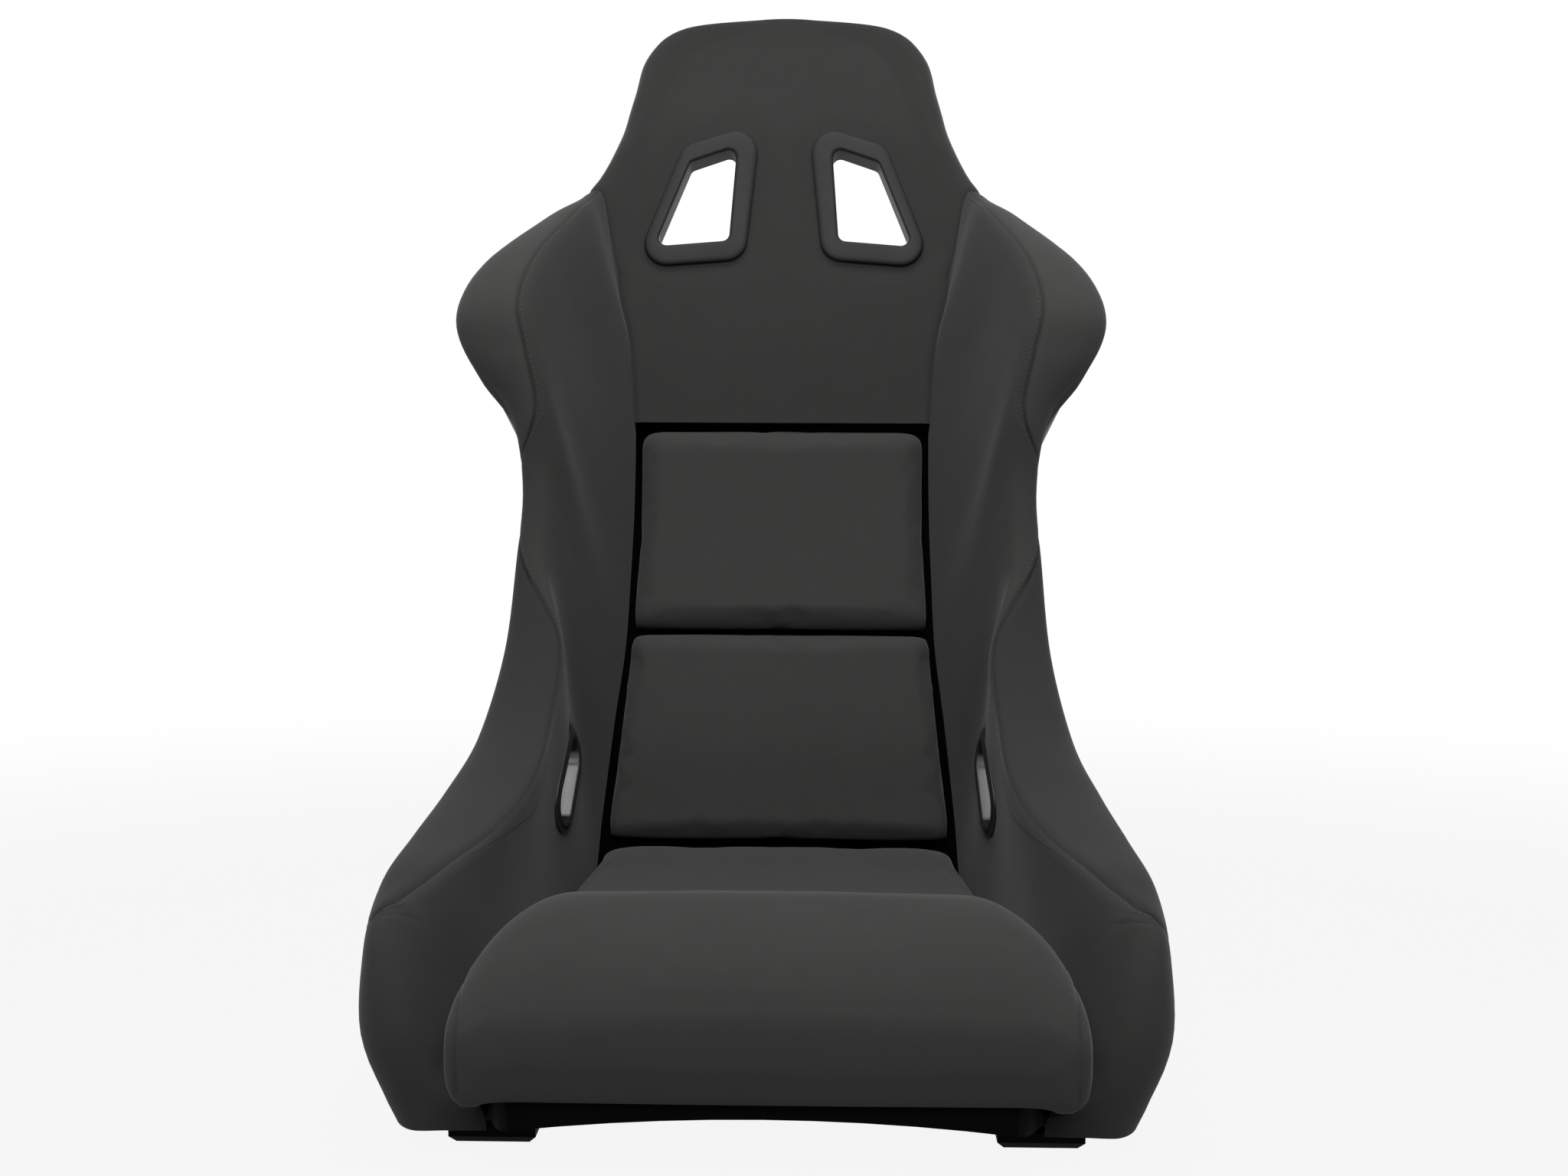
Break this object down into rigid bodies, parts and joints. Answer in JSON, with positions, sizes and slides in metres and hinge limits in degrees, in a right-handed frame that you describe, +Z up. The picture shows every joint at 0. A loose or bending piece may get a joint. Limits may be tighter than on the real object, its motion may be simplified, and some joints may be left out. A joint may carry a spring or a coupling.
{
  "type": "racing seat",
  "caption": "Fixed-back racing bucket seat with shoulder wings, thigh bolsters, harness slots, a seat cushion with a thigh roll and two back pads.",
  "frame": {"origin": "on the floor under the middle of the seat's bounding box", "axes": "+Z up, -Y the way the occupant faces, +X to the occupant's left"},
  "size_m": [0.562, 0.6129, 0.8769],
  "materials": {
    "shell_plastic": "black gelcoat, smooth gloss outside",
    "skid_plastic": "black glass-filled nylon",
    "screw_steel": "zinc-plated steel",
    "insert_steel": "zinc-plated steel",
    "moulded_foam": "moulded polyurethane foam",
    "strip_fabric": "hook and loop tape",
    "bezel_plastic": "satin black moulding",
    "cover_fabric": "fine charcoal velour, foam-backed",
    "cushion_fabric": "fine charcoal velour over foam"
  },
  "bodies": {
    "seat": {"shell": "shell_plastic", "left_base_skid": "skid_plastic", "right_base_skid": "skid_plastic", "skid_screws": "screw_steel", "base_inserts": "insert_steel", "side_inserts": "insert_steel", "left_bolster_foam": "moulded_foam", "right_bolster_foam": "moulded_foam", "head_foam": "moulded_foam", "left_bolster_cover": "cover_fabric", "right_bolster_cover": "cover_fabric", "left_shoulder_panel": "cover_fabric", "right_shoulder_panel": "cover_fabric", "left_hip_panel": "cover_fabric", "right_hip_panel": "cover_fabric", "head_cover": "cover_fabric", "left_shoulder_bezel": "bezel_plastic", "right_shoulder_bezel": "bezel_plastic", "left_rear_bezel": "bezel_plastic", "right_rear_bezel": "bezel_plastic", "bezel_screws": "screw_steel", "left_lap_bezel": "bezel_plastic", "right_lap_bezel": "bezel_plastic", "left_outer_lap_bezel": "bezel_plastic", "right_outer_lap_bezel": "bezel_plastic", "hook_strips": "strip_fabric"},
    "upper_pad": {"upper_back_pad": "cushion_fabric"},
    "lower_pad": {"lower_back_pad": "cushion_fabric"},
    "cushion": {"seat_cushion": "cushion_fabric"}
  },
  "joints": [
    {"name": "upper_pad_lift_off", "type": "slide", "parent": "seat", "child": "upper_pad", "axis": [0, -0.9759, 0.2182], "range_m": [0, 0.05]},
    {"name": "lower_pad_lift_off", "type": "slide", "parent": "seat", "child": "lower_pad", "axis": [0, -0.9759, 0.2182], "range_m": [0, 0.05]},
    {"name": "cushion_lift_off", "type": "slide", "parent": "seat", "child": "cushion", "axis": [0, -0.8, 0.6], "range_m": [0, 0.15]}
  ]
}
